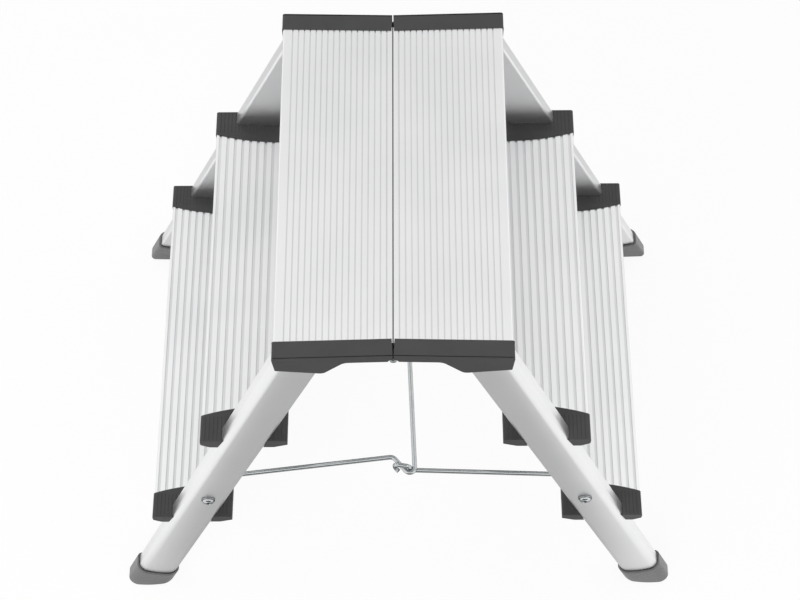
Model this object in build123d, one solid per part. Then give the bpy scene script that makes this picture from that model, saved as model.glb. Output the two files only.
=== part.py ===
from build123d import *
from math import cos, radians, sin, tan
import os

# Double-sided aluminium folding step stool. Lengths are in millimetres and angles in degrees.
# X is the climbing direction, Y runs along the treads and Z is up, with the floor at zero.
# Every piece is modelled for the right-hand far corner (+X, +Y) and mirrored to the others.

# Overall layout
STEP_RISE = 230.0
STEPS_PER_SIDE = 3
PLATFORM_HEIGHT = STEP_RISE * STEPS_PER_SIDE
FIT = 0.15
HOLE_FIT = 0.05

# Legs: aluminium tube, leaning along X and splayed along Y. The side that faces the treads is flat with
# tight corners, and the outer side is crowned with wide ones.
LEG_WIDTH = 54.0
LEG_THICKNESS = 25.0
LEG_WALL = 1.8
LEG_CROWN = 3.2
LEG_INNER_CORNER = 3.2
LEG_OUTER_CORNER = 10.5
LEG_LEAN = 21.1
LEG_SPLAY = 4.75
LEG_TOP_X = 91.8

# Feet: plastic sleeves with a flat sole
FOOT_WALL = 3.2
FOOT_SOLE = 9.0
FOOT_HEIGHT = 45.0
FOOT_ROUND = 5.0

# Treads: open aluminium extrusions with a grooved deck
DECK = 3.2
SKIRT_WALL = 2.2
FLANGE_WIDTH = 11.0
FLANGE_WALL = 2.0
RIB_WALL = 2.2
NOSE_ROUND = 2.0
GROOVE_DEPTH = 1.3
TOP_TREAD_DEPTH = 131.0
TOP_TREAD_HALF_LENGTH = 206.0
TOP_SKIRT = 17.0
TOP_GROOVE_PITCH = 7.0
TOP_GROOVE_WIDTH = 1.4
TOP_GROOVE_FIRST = 7.1
TOP_GROOVE_MARGIN = 11.0
LOWER_TREAD_FRONT = 54.0
LOWER_TREAD_BACK = 49.0
LOWER_SKIRT = 13.0
LOWER_RIB = 10.0
LOWER_GROOVE_PITCH = 9.95
LOWER_GROOVE_WIDTH = 3.6
LOWER_GROOVE_FIRST = 5.6
LOWER_GROOVE_MARGIN = 7.0

# Hinge between the two top treads
HINGE_DROP = 14.0
HINGE_GAP = 0.65
HINGE_WEB = 2.6
KNUCKLE_RADIUS = 5.5
KNUCKLE_COUNT = 5
KNUCKLE_GAP = 0.6
KNUCKLE_CLEARANCE = 0.5
PIN_RADIUS = 3.0
PIN_HEAD_RADIUS = 3.8
PIN_HEAD_LENGTH = 2.2
TONGUE_RIB_X = 46.0
TONGUE_RIB_DROP = 14.0

# End caps: moulded plastic, lapping the tread by a thin lip
LIP = 1.3
CAP_ROOF = 3.0
CAP_ROUND = 2.0
TOP_CAP_REACH = 19.8
TOP_CAP_SLANT = 3.0
TOP_CAP_LAP = 21.3
TOP_CAP_EDGE = 13.0
TOP_CAP_SEAM = 1.6
TOP_CAP_LINE_DEPTH = 1.2
TOP_CAP_LINE_WIDTH = 1.1
TOP_CAP_LINE_INSET = 0.8
SOCKET_FRONT_DROP = 30.0
SOCKET_BACK_DROP = 41.0
SOCKET_BACK_X = 78.0
SOCKET_SHOULDER_X = 54.0
SOCKET_CURVE = 12.0
SOCKET_HEEL = 8.0
SOCKET_TAPER = 2.0
SOCKET_WALL = 4.0
TONGUE_LENGTH = 24.0
LOWER_CAP_PAST_LEG = 7.3
LOWER_CAP_WEB = 6.0
LOWER_CAP_LAP_FRONT = 26.0
LOWER_CAP_LAP_BACK = 38.5
LOWER_CAP_LAP_RUN = 84.0
LOWER_CAP_DEPTH = 19.0
LOWER_CAP_CORNER = 11.0
LOWER_CAP_FRONT_RUN = 9.0
LOWER_CAP_BACK_RUN = 16.0
LOWER_CAP_CORNER_ROUND = 7.0
PLUG_LENGTH = 22.0
PLUG_WIDTH = 20.0
CAP_RIB_PITCH = 4.85
CAP_RIB_WIDTH = 1.2
CAP_RIB_DEPTH = 0.5

# Blind rivets from each cap into its leg, and screws from below into each cap
RIVET_RADIUS = 2.0
RIVET_HEAD_RADIUS = 4.0
RIVET_HEAD = 1.4
RIVET_TAIL_RADIUS = 3.2
RIVET_TAIL = 2.5
RIVET_SPREAD = 10.0
RIVET_DROP_LOWER = 9.0
RIVET_DROP_TOP = 22.0
SCREW_RADIUS = 2.0
SCREW_HEAD_RADIUS = 3.6
SCREW_HEAD = 2.0
SCREW_END_COVER = 1.5

# Stay: zinc-plated steel wire on four bolts through the legs
WIRE_RADIUS = 3.0
STAY_HEIGHT = 300.0
BOLT_RADIUS = 4.0
BOLT_HEAD_RADIUS = 7.5
BOLT_HEAD = 4.4
BOLT_HEAD_ROUND = 3.6
BOLT_SOCKET_RADIUS = 2.9
BOLT_SOCKET_DEPTH = 2.6
BOLT_END = 2.0
HEAD_WASHER_RADIUS = 8.8
HEAD_WASHER = 1.0
SPACER_RADIUS = 7.0
WASHER_RADIUS = 8.0
WASHER = 1.6
NUT_RADIUS = 7.2
NUT = 6.5
EYE_STANDOFF = 9.0
EYE_PLAY = 0.08
EYE_SIDE_PLAY = 0.2
EYE_WRAP = 250.0
EYE_RUN = 16.0
EYE_BEND = 40.0
SEAT_BEND_X = -8.5
SEAT_BEND_INSET = 24.4
SEAT_BEND_RADIUS = 9.0
SEAT_SLANT = 41.0
STRAND_END_X = 22.9
STRAND_BEND_RADIUS = 4.5
STRAND_MIDDLE_X = 17.5
STRAND_MIDDLE_Y = 45.0
STRAND_BOW_RADIUS = 900.0
HOOK_INSET = 9.0
HOOK_RADIUS = 11.0
HOOK_PLAY = 2.5
HOOK_WRAP = 80.0
HOOK_RUN = 14.0

# Where a wire leaves the round of its eye, and a length that reaches past the whole stool
RING_BOTTOM = 270.0
WIDE = 4.0 * PLATFORM_HEIGHT

LEG_TOP_Y = TOP_TREAD_HALF_LENGTH
TOP_CAP_END = TOP_TREAD_HALF_LENGTH + TOP_CAP_REACH
HINGE_Z = PLATFORM_HEIGHT - HINGE_DROP
LEG_HEAD_Z = PLATFORM_HEIGHT - DECK - CAP_ROOF
HALF_THICKNESS_Y = LEG_THICKNESS / 2.0 / cos(radians(LEG_SPLAY))
LOWER_HEIGHTS = {"mid": PLATFORM_HEIGHT - STEP_RISE, "low": PLATFORM_HEIGHT - 2.0 * STEP_RISE}


def leg_x(height):
    """X of a right-hand leg's centre line at a height."""
    return LEG_TOP_X + (PLATFORM_HEIGHT - height) * tan(radians(LEG_LEAN))


def leg_y(height):
    """Y of a far leg's centre line at a height."""
    return LEG_TOP_Y + (PLATFORM_HEIGHT - height) * tan(radians(LEG_SPLAY))


def leg_inner_y(height):
    """Y of the inner flat face of a far leg at a height."""
    return leg_y(height) - HALF_THICKNESS_Y


def leg_plane():
    """The leg's section plane on the floor: X across its width, Z up along its axis."""
    up = Vector(-tan(radians(LEG_LEAN)), -tan(radians(LEG_SPLAY)), 1.0).normalized()
    across = (Vector(0, 1, 0) - up * up.Y).normalized()
    return Plane(origin=(leg_x(0), leg_y(0), 0), x_dir=across.cross(up), z_dir=up)


def block(x0, x1, y0, y1, z0, z1):
    """A box between two corners."""
    middle = Pos((x0 + x1) / 2.0, (y0 + y1) / 2.0, (z0 + z1) / 2.0)
    return middle * Box(x1 - x0, y1 - y0, z1 - z0)


def slab(z0, z1):
    """All that lies between two heights."""
    return block(-WIDE, WIDE, -WIDE, WIDE, z0, z1)


def rod(x, z, y0, y1, radius):
    """A round bar along Y."""
    return Pos(x, (y0 + y1) / 2.0, z) * Rot(90, 0, 0) * Cylinder(radius, y1 - y0)


def post(x, y, z0, z1, radius):
    """A round bar along Z."""
    return Pos(x, y, (z0 + z1) / 2.0) * Cylinder(radius, z1 - z0)


def along_y(profile, y0, y1):
    """A prism whose X-Z profile runs from one Y to another."""
    return Pos(0, y1, 0) * extrude(Plane.XZ * profile, amount=y1 - y0)


def rectangle(x0, x1, z0, z1):
    """A rectangle in a profile, between two corners."""
    return Pos((x0 + x1) / 2.0, (z0 + z1) / 2.0) * Rectangle(x1 - x0, z1 - z0)


def rounded_outline(points, radii):
    """A closed face through corner points, each rounded by its own radius."""
    return make_face(FilletPolyline(*points, radius=radii, close=True).edges())


def leg_section(grow):
    """The leg's section, grown all round: X across its width and Y outwards, to the crowned side."""
    side = LEG_WIDTH / 2.0 + grow
    inner = -LEG_THICKNESS / 2.0 - grow
    outer = LEG_THICKNESS / 2.0 + grow
    shoulder = outer - LEG_CROWN
    flats = Polyline((side, shoulder), (side, inner), (-side, inner), (-side, shoulder))
    crown = ThreePointArc((-side, shoulder), (0, outer), (side, shoulder))
    face = make_face(flats.edges() + crown.edges())
    face = fillet(face.vertices().group_by(Axis.Y)[0], LEG_INNER_CORNER + grow)
    return fillet(face.vertices().group_by(Axis.Y)[-1], LEG_OUTER_CORNER + grow)


def leg_envelope(grow):
    """The leg's outer form, grown all round, from under the floor to above the whole stool."""
    return extrude(leg_plane().offset(-LEG_WIDTH) * leg_section(grow), amount=WIDE + LEG_WIDTH)


def rivet_places():
    """X, height, seat Y and depth of each rivet: two through every cap's wall into the leg."""
    seats = [(PLATFORM_HEIGHT - RIVET_DROP_TOP, socket_inner_y())]
    seats += [(z - RIVET_DROP_LOWER, lower_cut_y(z)) for z in LOWER_HEIGHTS.values()]
    return [(leg_x(z) + side * RIVET_SPREAD, z, seat) for z, seat in seats for side in (-1, 1)]


def screw_places():
    """X, Y, underside height and tip height of each screw that holds a tread to its caps."""
    flange_z = PLATFORM_HEIGHT - TONGUE_RIB_DROP
    tip = PLATFORM_HEIGHT - DECK - SCREW_END_COVER
    x = TONGUE_RIB_X - RIB_WALL - FLANGE_WIDTH / 2.0
    places = [(x, TOP_TREAD_HALF_LENGTH - TONGUE_LENGTH / 2.0, flange_z, tip)]
    for z in LOWER_HEIGHTS.values():
        y = lower_cut_y(z) - PLUG_LENGTH / 2.0
        inset = SKIRT_WALL + FLANGE_WIDTH / 2.0
        for x in (lower_back(z) + inset, lower_front(z) - inset):
            places.append((x, y, z - LOWER_SKIRT, z - DECK - SCREW_END_COVER))
    return places


def lower_front(z):
    """X of a lower tread's front edge."""
    return leg_x(z) + LOWER_TREAD_FRONT


def lower_back(z):
    """X of a lower tread's back edge."""
    return leg_x(z) - LOWER_TREAD_BACK


def lower_cut_y(z):
    """Y where a lower tread's extrusion is cut, a cap's web short of the leg."""
    return leg_inner_y(z) - LOWER_CAP_WEB


def socket_inner_y():
    """Y of the inner side of a top cap's leg socket."""
    return leg_inner_y(PLATFORM_HEIGHT) - SOCKET_WALL


def make_leg():
    """A length of tube, cut level at both ends and drilled."""
    tube = leg_envelope(0) - leg_envelope(-LEG_WALL)
    tube = tube & slab(FOOT_SOLE, LEG_HEAD_Z)
    hole = BOLT_RADIUS + HOLE_FIT
    tube -= rod(leg_x(STAY_HEIGHT), STAY_HEIGHT, 0, WIDE, hole)
    for x, z, seat in rivet_places():
        tube -= rod(x, z, seat, leg_y(z), RIVET_RADIUS + HOLE_FIT)
    return tube


def make_foot():
    """A sleeve over the leg's end, square to the leg at its rim and level at its sole."""
    section = leg_plane().offset(-LEG_WIDTH) * leg_section(FOOT_WALL)
    shoe = extrude(section, amount=LEG_WIDTH + FOOT_HEIGHT) & slab(0, PLATFORM_HEIGHT)
    shoe = fillet(shoe.edges().group_by(Axis.Z)[0], FOOT_ROUND)
    return shoe - (leg_envelope(FIT) & slab(FOOT_SOLE, PLATFORM_HEIGHT))


def groove_cuts(first, room, step, top, width):
    """Evenly spaced grooves across a deck, counted from the first one for as far as there is room."""
    count = int(room / abs(step)) + 1
    spots = [first + number * step for number in range(count)]
    return [rectangle(x - width / 2.0, x + width / 2.0, top - GROOVE_DEPTH, top + LIP) for x in spots]


def lower_outline(z, grow):
    """A lower tread's outer section, filled, grown all round by a lip."""
    x0 = lower_back(z) - grow
    x1 = lower_front(z) + grow
    points = [(x0, z - LOWER_SKIRT), (x1, z - LOWER_SKIRT), (x1, z + grow), (x0, z + grow)]
    return rounded_outline(points, [0, 0, NOSE_ROUND + grow, NOSE_ROUND / 2.0 + grow])


def make_lower_tread(z):
    """A middle or low tread: grooved deck, two skirts with inward flanges and a rib."""
    x0 = lower_back(z)
    x1 = lower_front(z)
    bottom = z - LOWER_SKIRT
    deck_z = z - DECK
    inside = [(x0 + SKIRT_WALL, bottom - LIP), (x1 - SKIRT_WALL, bottom - LIP)]
    inside += [(x1 - SKIRT_WALL, deck_z), (x0 + SKIRT_WALL, deck_z)]
    profile = lower_outline(z, 0) - rounded_outline(inside, [0, 0, NOSE_ROUND / 2.0, 0])
    for near, far in ((x0, x0 + SKIRT_WALL + FLANGE_WIDTH), (x1 - SKIRT_WALL - FLANGE_WIDTH, x1)):
        profile += rectangle(near, far, bottom, bottom + FLANGE_WALL)
    middle = (x0 + x1) / 2.0
    profile += rectangle(middle - RIB_WALL / 2.0, middle + RIB_WALL / 2.0, deck_z - LOWER_RIB, deck_z)
    room = x1 - x0 - LOWER_GROOVE_FIRST - LOWER_GROOVE_MARGIN
    for cut in groove_cuts(x1 - LOWER_GROOVE_FIRST, room, -LOWER_GROOVE_PITCH, z, LOWER_GROOVE_WIDTH):
        profile -= cut
    tread = along_y(profile, -lower_cut_y(z), lower_cut_y(z))
    for x, y, under, tip in screw_places():
        for side in (-1, 1):
            if under == bottom:
                tread -= post(x, side * y, under - LIP, under + DECK, SCREW_RADIUS + HOLE_FIT)
    return tread


def knuckle_spans(first):
    """Y ranges of every other hinge knuckle, counted from the first or the second one."""
    pitch = 2.0 * TOP_TREAD_HALF_LENGTH / KNUCKLE_COUNT
    starts = [number * pitch - TOP_TREAD_HALF_LENGTH for number in range(first, KNUCKLE_COUNT, 2)]
    return [(y + KNUCKLE_GAP / 2.0, y + pitch - KNUCKLE_GAP / 2.0) for y in starts]


def top_outline(grow):
    """The top tread's outer section, filled, grown on its front and top by a lip."""
    x1 = TOP_TREAD_DEPTH + grow
    bottom = PLATFORM_HEIGHT - TOP_SKIRT
    points = [(HINGE_GAP, bottom), (x1, bottom), (x1, PLATFORM_HEIGHT + grow), (HINGE_GAP, PLATFORM_HEIGHT + grow)]
    return rounded_outline(points, [0, 0, NOSE_ROUND + grow, 0])


def make_top_tread(own, other):
    """Half of the platform: grooved deck, front skirt, tongue rail and hinge knuckles."""
    top = PLATFORM_HEIGHT
    deck_z = top - DECK
    bottom = top - TOP_SKIRT
    inside = [(HINGE_GAP + HINGE_WEB, bottom - LIP), (TOP_TREAD_DEPTH - SKIRT_WALL, bottom - LIP)]
    inside += [(TOP_TREAD_DEPTH - SKIRT_WALL, deck_z), (HINGE_GAP + HINGE_WEB, deck_z)]
    profile = top_outline(0) - rounded_outline(inside, [0, 0, NOSE_ROUND / 2.0, 0])
    profile -= rectangle(0, HINGE_GAP + HINGE_WEB + LIP, bottom - LIP, HINGE_Z)
    rail_z = top - TONGUE_RIB_DROP
    profile += rectangle(TONGUE_RIB_X - RIB_WALL, TONGUE_RIB_X, rail_z, deck_z)
    profile += rectangle(TONGUE_RIB_X - RIB_WALL - FLANGE_WIDTH, TONGUE_RIB_X, rail_z, rail_z + FLANGE_WALL)
    room = TOP_TREAD_DEPTH - TOP_GROOVE_FIRST - TOP_GROOVE_MARGIN
    for cut in groove_cuts(TOP_GROOVE_FIRST, room, TOP_GROOVE_PITCH, top, TOP_GROOVE_WIDTH):
        profile -= cut
    tread = along_y(profile, -TOP_TREAD_HALF_LENGTH, TOP_TREAD_HALF_LENGTH)
    for y0, y1 in other:
        room = KNUCKLE_RADIUS + KNUCKLE_CLEARANCE
        tread -= rod(0, HINGE_Z, y0 - KNUCKLE_GAP, y1 + KNUCKLE_GAP, room)
    for y0, y1 in own:
        tread += rod(0, HINGE_Z, y0, y1, KNUCKLE_RADIUS)
    tread -= rod(0, HINGE_Z, -WIDE, WIDE, PIN_RADIUS + HOLE_FIT)
    x, y, under, tip = screw_places()[0]
    for side in (-1, 1):
        tread -= post(x, side * y, under - LIP, under + DECK, SCREW_RADIUS + HOLE_FIT)
        tread -= corner(leg_envelope(FIT) & slab(0, LEG_HEAD_Z), 1, side)
    return tread


def drill_cap(cap):
    """Cuts a far cap for its leg, its rivets and its screws."""
    cap -= leg_envelope(FIT) & slab(0, LEG_HEAD_Z)
    for x, z, seat in rivet_places():
        cap -= rod(x, z, seat - LIP, leg_y(z), RIVET_RADIUS + HOLE_FIT)
    for x, y, under, tip in screw_places():
        cap -= post(x, y, under - LIP, tip, SCREW_RADIUS + HOLE_FIT)
    return cap


def make_top_cap():
    """A platform end cap: a thin edge over the seam side and a deep socket round the leg's head."""
    top = PLATFORM_HEIGHT + LIP
    front = TOP_TREAD_DEPTH + LIP
    edge_z = PLATFORM_HEIGHT - TOP_CAP_EDGE
    points = [(HINGE_GAP, edge_z), (SOCKET_SHOULDER_X, edge_z)]
    points += [(SOCKET_BACK_X, PLATFORM_HEIGHT - SOCKET_BACK_DROP)]
    points += [(front - SOCKET_TAPER, PLATFORM_HEIGHT - SOCKET_FRONT_DROP), (front, top), (HINGE_GAP, top)]
    face = rounded_outline(points, [0, SOCKET_CURVE, SOCKET_HEEL, CAP_ROUND, NOSE_ROUND + LIP, 0])
    cut_y = TOP_TREAD_HALF_LENGTH
    lap_y = TOP_CAP_END - TOP_CAP_LAP
    seam_y = TOP_CAP_END - TOP_CAP_SLANT
    plan_points = [(TOP_CAP_SEAM, lap_y - TOP_CAP_SLANT), (front + LIP, lap_y), (front + LIP, TOP_CAP_END)]
    plan_points += [(HINGE_GAP, seam_y), (HINGE_GAP, seam_y - CAP_ROUND)]
    plan = extrude(make_face(Polyline(*plan_points, close=True).edges()), amount=2.0 * PLATFORM_HEIGHT)
    lap = along_y(top_outline(LIP) - top_outline(0), lap_y - TOP_CAP_SLANT - LIP, cut_y) & plan
    cap = (along_y(face, cut_y, TOP_CAP_END) & plan) + lap
    cap -= end_line(seam_y, front)
    inner_front = TOP_TREAD_DEPTH - SKIRT_WALL - NOSE_ROUND / 2.0
    roof_z = PLATFORM_HEIGHT - DECK
    socket = along_y(face, socket_inner_y(), cut_y)
    socket &= block(SOCKET_SHOULDER_X, inner_front, 0, WIDE, 0, roof_z)
    cap += socket
    rail_top = PLATFORM_HEIGHT - TONGUE_RIB_DROP + FLANGE_WALL
    tongue_x0 = TONGUE_RIB_X - RIB_WALL - FLANGE_WIDTH
    tongue_x1 = TONGUE_RIB_X - RIB_WALL - FIT
    cap += block(tongue_x0, tongue_x1, cut_y - TONGUE_LENGTH, cut_y + FIT, rail_top, roof_z)
    cap -= rod(0, HINGE_Z, 0, WIDE, KNUCKLE_RADIUS + KNUCKLE_CLEARANCE)
    return drill_cap(cap)


def end_line(seam_y, front):
    """The fine groove that runs along the top of a platform cap, close to its end face."""
    outer = TOP_CAP_LINE_INSET
    inner = TOP_CAP_LINE_INSET + TOP_CAP_LINE_WIDTH
    points = [(0, seam_y - inner), (front + LIP, TOP_CAP_END - inner)]
    points += [(front + LIP, TOP_CAP_END - outer), (0, seam_y - outer)]
    strip = make_face(Polyline(*points, close=True).edges())
    return Pos(0, 0, PLATFORM_HEIGHT + LIP - TOP_CAP_LINE_DEPTH) * extrude(strip, amount=TOP_CAP_LINE_DEPTH)


def make_lower_cap(z):
    """A middle or low end cap: curved lip on the deck, notch for the leg, plugs in the tread."""
    x0 = lower_back(z)
    x1 = lower_front(z)
    end_y = leg_y(z) + LOWER_CAP_PAST_LEG
    cut_y = lower_cut_y(z)
    corner_z = z - LOWER_CAP_CORNER
    base_z = z - LOWER_CAP_DEPTH
    points = [(x0 - LIP, corner_z), (x0 + LOWER_CAP_BACK_RUN, base_z)]
    points += [(x1 - LOWER_CAP_FRONT_RUN, base_z), (x1 + LIP, corner_z)]
    points += [(x1 + LIP, z + LIP), (x0 - LIP, z + LIP)]
    bend = LOWER_CAP_CORNER_ROUND
    nose = NOSE_ROUND + LIP
    face = rounded_outline(points, [CAP_ROUND, bend, bend, CAP_ROUND, nose, NOSE_ROUND / 2.0 + LIP])
    cap = along_y(face, cut_y, end_y)
    lap_front = leg_y(z) - LOWER_CAP_LAP_FRONT
    lap_back = leg_y(z) - LOWER_CAP_LAP_BACK
    lap_start = Vector(x1 + LIP, lap_front)
    lap_flat = Vector(x1 - LOWER_CAP_LAP_RUN, lap_back)
    curve = TangentArc(lap_flat, lap_start, tangent=(1, 0))
    straight = Polyline(lap_start, (x1 + LIP, end_y), (x0 - LIP, end_y), (x0 - LIP, lap_back), lap_flat)
    plan = extrude(make_face(curve.edges() + straight.edges()), amount=2.0 * PLATFORM_HEIGHT)
    shell = lower_outline(z, LIP) - lower_outline(z, 0)
    lap = along_y(shell, lap_back - LIP, cut_y) & plan & slab(corner_z, 2.0 * PLATFORM_HEIGHT)
    cap += lap
    roof_z = z - DECK
    floor_z = z - LOWER_SKIRT + FLANGE_WALL
    plug_y = cut_y - PLUG_LENGTH
    inner_x0 = x0 + SKIRT_WALL + FIT
    inner_x1 = x1 - SKIRT_WALL - NOSE_ROUND / 2.0
    cap += block(inner_x0, inner_x0 + PLUG_WIDTH, plug_y, cut_y + FIT, floor_z, roof_z)
    cap += block(inner_x1 - PLUG_WIDTH, inner_x1, plug_y, cut_y + FIT, floor_z, roof_z)
    count = int((x1 - x0 - 2.0 * NOSE_ROUND) / CAP_RIB_PITCH)
    first = (x0 + x1 - (count - 1) * CAP_RIB_PITCH) / 2.0
    cap_top = z + LIP
    for number in range(count):
        x = first + number * CAP_RIB_PITCH
        line = rectangle(x - CAP_RIB_WIDTH / 2.0, x + CAP_RIB_WIDTH / 2.0, cap_top - CAP_RIB_DEPTH, cap_top + LIP)
        cap -= along_y(line, lap_front + LIP, end_y - CAP_ROUND)
    return drill_cap(cap)


def make_rivets():
    """The blind rivets of one far leg, as separate solids."""
    made = []
    for x, z, seat in rivet_places():
        tube_y = leg_inner_y(z) + LEG_WALL / cos(radians(LEG_SPLAY))
        tail_y = tube_y + (RIVET_SPREAD + RIVET_TAIL_RADIUS) * tan(radians(LEG_SPLAY))
        rivet = rod(x, z, seat - RIVET_HEAD, seat, RIVET_HEAD_RADIUS)
        rivet += rod(x, z, seat - RIVET_HEAD / 2.0, tail_y + RIVET_TAIL, RIVET_RADIUS)
        rivet += rod(x, z, tail_y, tail_y + RIVET_TAIL, RIVET_TAIL_RADIUS)
        made.append(rivet)
    return made


def make_screws():
    """The screws of one far end, driven up from below, as separate solids."""
    made = []
    for x, y, under, tip in screw_places():
        screw = post(x, y, under - SCREW_HEAD, under, SCREW_HEAD_RADIUS)
        made.append(screw + post(x, y, under - SCREW_HEAD / 2.0, tip, SCREW_RADIUS))
    return made


STAY_X = leg_x(STAY_HEIGHT)
EYE_Y = leg_inner_y(STAY_HEIGHT) - EYE_STANDOFF
EYE_RADIUS = BOLT_RADIUS + EYE_PLAY + WIRE_RADIUS
HEAD_SEAT_Y = leg_y(STAY_HEIGHT) + HALF_THICKNESS_Y + HEAD_WASHER_RADIUS * tan(radians(LEG_SPLAY)) + HEAD_WASHER
SEAT_BEND_Y = EYE_Y - SEAT_BEND_INSET
HOOK_Y = EYE_Y - HOOK_INSET
WASHER_Y = EYE_Y - WIRE_RADIUS - EYE_SIDE_PLAY
NUT_Y = WASHER_Y - WASHER


def make_bolt():
    """A button-head socket bolt along Y, its head outside the far leg."""
    head = rod(STAY_X, STAY_HEIGHT, HEAD_SEAT_Y, HEAD_SEAT_Y + BOLT_HEAD, BOLT_HEAD_RADIUS)
    head = fillet(head.edges().group_by(Axis.Y)[-1], BOLT_HEAD_ROUND)
    socket = Plane.XZ * RegularPolygon(BOLT_SOCKET_RADIUS, 6)
    recess = extrude(socket, amount=-BOLT_SOCKET_DEPTH)
    head -= Pos(STAY_X, HEAD_SEAT_Y + BOLT_HEAD - BOLT_SOCKET_DEPTH, STAY_HEIGHT) * recess
    return head + rod(STAY_X, STAY_HEIGHT, NUT_Y - NUT - BOLT_END, HEAD_SEAT_Y + BOLT_HEAD / 3.0, BOLT_RADIUS)


def bolt_ring(y0, y1, radius):
    """A plain ring on the stay bolt between two Y values."""
    bore = rod(STAY_X, STAY_HEIGHT, 0, WIDE, BOLT_RADIUS + HOLE_FIT)
    return rod(STAY_X, STAY_HEIGHT, y0, y1, radius) - bore


def make_head_washer():
    """A dark washer under the bolt's head, tapered to the leg's splay."""
    return bolt_ring(leg_y(STAY_HEIGHT), HEAD_SEAT_Y, HEAD_WASHER_RADIUS) - leg_envelope(0)


def make_spacer():
    """A sleeve between the leg's inner face and the wire's eye."""
    start = EYE_Y + WIRE_RADIUS + EYE_SIDE_PLAY
    return bolt_ring(start, leg_y(STAY_HEIGHT), SPACER_RADIUS) - leg_envelope(0)


def make_washer():
    """A plain washer inside the wire's eye."""
    return bolt_ring(NUT_Y, WASHER_Y, WASHER_RADIUS)


def make_nut():
    """A locknut on the bolt's inner end."""
    blank = along_y(Pos(STAY_X, STAY_HEIGHT) * RegularPolygon(NUT_RADIUS, 6), NUT_Y - NUT, NUT_Y)
    return blank - rod(STAY_X, STAY_HEIGHT, 0, WIDE, BOLT_RADIUS + HOLE_FIT)


def arc(x, y, z, radius, start, end):
    """A round stretch of wire in an X-Z plane, from one angle to another."""
    angles = [radians(start), radians((start + end) / 2.0), radians(end)]
    return ThreePointArc(*[(x + radius * cos(a), y, z + radius * sin(a)) for a in angles])


def wire(edges):
    """Round wire swept along joined lines and arcs."""
    path = Wire(edges)
    section = Plane(origin=path @ 0, z_dir=path % 0) * Circle(WIRE_RADIUS)
    return sweep(section, path=path)


def make_bow():
    """The stay's bow: an arm and a slanted seat at each end, and one long strand between them."""
    z = STAY_HEIGHT
    eye_z = z - EYE_RADIUS
    reach = STRAND_END_X - SEAT_BEND_X
    corner_y = SEAT_BEND_Y + reach * tan(radians(SEAT_SLANT))
    half = [(-STAY_X, -EYE_Y, eye_z), (-STAY_X + EYE_RUN, -EYE_Y, eye_z), (SEAT_BEND_X, -SEAT_BEND_Y, z)]
    half += [(STRAND_END_X, -corner_y, z), (STRAND_MIDDLE_X, -STRAND_MIDDLE_Y, z)]
    other = [(x, -y, height) for x, y, height in reversed(half)]
    bends = [EYE_BEND, SEAT_BEND_RADIUS, STRAND_BEND_RADIUS, STRAND_BOW_RADIUS]
    line = FilletPolyline(*half, *other, radius=bends + bends[::-1])
    near_eye = arc(-STAY_X, -EYE_Y, z, EYE_RADIUS, RING_BOTTOM - EYE_WRAP, RING_BOTTOM)
    far_eye = arc(-STAY_X, EYE_Y, z, EYE_RADIUS, RING_BOTTOM, RING_BOTTOM - EYE_WRAP)
    return wire(near_eye.edges() + line.edges() + far_eye.edges())


def make_link():
    """The far link: an eye on the right-hand bolt, a straight shank and an open hook."""
    z = STAY_HEIGHT
    eye_z = z - EYE_RADIUS
    hook_x = SEAT_BEND_X + (HOOK_Y - SEAT_BEND_Y) / tan(radians(SEAT_SLANT))
    hook_z = z - 2.0 * WIRE_RADIUS - HOOK_PLAY
    points = [(STAY_X, EYE_Y, eye_z), (STAY_X - EYE_RUN, EYE_Y, eye_z)]
    points += [(hook_x + HOOK_RUN, HOOK_Y, hook_z), (hook_x, HOOK_Y, hook_z)]
    shank = FilletPolyline(*points, radius=EYE_BEND)
    eye = arc(STAY_X, EYE_Y, z, EYE_RADIUS, RING_BOTTOM + EYE_WRAP, RING_BOTTOM)
    hook = arc(hook_x, HOOK_Y, hook_z + HOOK_RADIUS, HOOK_RADIUS, RING_BOTTOM, RING_BOTTOM - HOOK_WRAP)
    return wire(eye.edges() + shank.edges() + hook.edges())


def make_pin():
    """The hinge pin, headed at both ends, through every knuckle and out at the caps."""
    end = TOP_CAP_END - TOP_CAP_SLANT
    pin = rod(0, HINGE_Z, -end, end, PIN_RADIUS)
    for y in (-end, end - PIN_HEAD_LENGTH):
        pin += rod(0, HINGE_Z, y, y + PIN_HEAD_LENGTH, PIN_HEAD_RADIUS)
    return pin


def corner(piece, side, end):
    """A right-hand far piece, mirrored to a side (-1 left, 1 right) and an end (-1 near, 1 far)."""
    moved = piece if side > 0 else mirror(piece, about=Plane.YZ)
    return moved if end > 0 else mirror(moved, about=Plane.XZ)


def save(node, solids):
    """Writes one node's solids to its own file."""
    pieces = [solid for piece in solids for solid in piece.solids()]
    shape = pieces[0] if len(pieces) == 1 else Compound(children=pieces)
    export_step(shape, f"parts/{node}.step")


SIDES = {"left": -1, "right": 1}
ENDS = {"near": -1, "far": 1}
os.makedirs("parts", exist_ok=True)

single = {"leg": make_leg(), "foot": make_foot(), "top_cap": make_top_cap()}
for level, height in LOWER_HEIGHTS.items():
    single[f"{level}_cap"] = make_lower_cap(height)
grouped = {"leg_rivets": make_rivets(), "tread_screws": make_screws(), "stay_bolts": [make_bolt()]}
grouped["stay_head_washers"] = [make_head_washer()]
grouped["stay_spacers"] = [make_spacer()]
grouped["stay_washers"] = [make_washer()]
grouped["stay_nuts"] = [make_nut()]

for side_name, side in SIDES.items():
    for end_name, end in ENDS.items():
        for name, piece in single.items():
            save(f"{side_name}_{name}_{end_name}", [corner(piece, side, end)])
    for name, pieces in grouped.items():
        save(f"{side_name}_{name}", [corner(piece, side, end) for end in ENDS.values() for piece in pieces])
    for level, height in LOWER_HEIGHTS.items():
        save(f"{side_name}_{level}_tread", [corner(make_lower_tread(height), side, 1)])

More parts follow.
